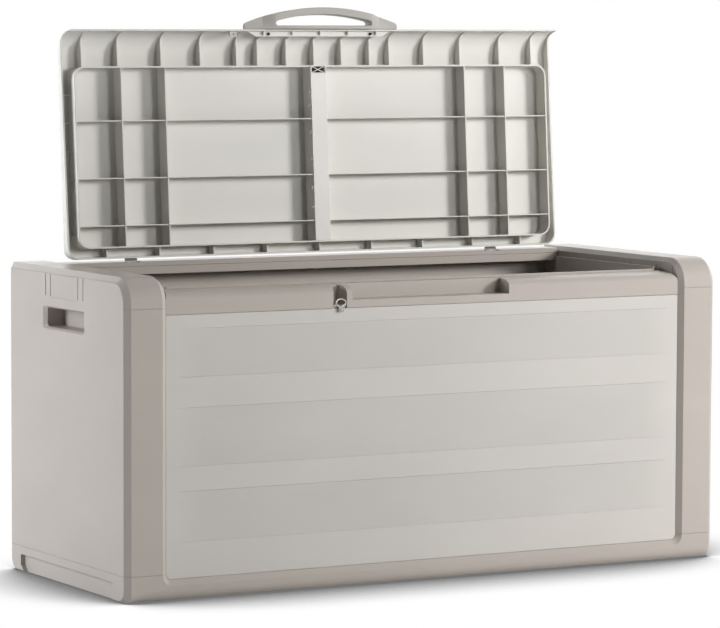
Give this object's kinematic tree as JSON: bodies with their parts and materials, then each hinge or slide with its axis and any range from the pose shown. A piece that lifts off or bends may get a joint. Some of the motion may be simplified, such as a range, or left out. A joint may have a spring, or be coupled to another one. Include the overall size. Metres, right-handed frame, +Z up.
{
  "type": "deck storage box",
  "caption": "Long plastic outdoor storage box with framed plank panels, end arms with hand holes, and a ribbed lid standing open on a rear hinge, with an arched handle and a padlock eye.",
  "frame": {"origin": "on the floor, under the middle of the box", "axes": "+X along the box's length to the right seen from the front, +Y from front to back, +Z up"},
  "size_m": [1.2, 0.48, 1.0076],
  "materials": {
    "frame_plastic": "fine satin grain, warm taupe grey",
    "panel_plastic": "fine satin grain, pale warm grey",
    "lid_plastic": "satin, pale warm grey",
    "handle_plastic": "satin, mid warm grey",
    "bright_metal": "bright plated",
    "pin_steel": "brushed",
    "dark_screw": "black coated"
  },
  "bodies": {
    "box": {"base_tray": "frame_plastic", "left_side_panel": "frame_plastic", "right_side_panel": "frame_plastic", "left_top_cap": "frame_plastic", "right_top_cap": "frame_plastic", "front_panel": "panel_plastic", "rear_panel": "panel_plastic", "front_rail": "frame_plastic", "rear_rail": "frame_plastic", "left_hinge_pin": "pin_steel", "right_hinge_pin": "pin_steel", "latch_eye": "bright_metal", "latch_rivet": "bright_metal"},
    "lid": {"lid_panel": "lid_plastic", "lid_centre_strip": "lid_plastic", "strip_brace": "lid_plastic", "lid_handle": "handle_plastic", "left_handle_screw": "dark_screw", "right_handle_screw": "dark_screw", "latch_tab": "panel_plastic"}
  },
  "joints": [
    {"name": "lid_hinge", "type": "hinge", "parent": "box", "child": "lid", "pos_m": [0, 0.184, 0.541], "axis": [1, 0, 0], "range_deg": [0, 94]}
  ]
}
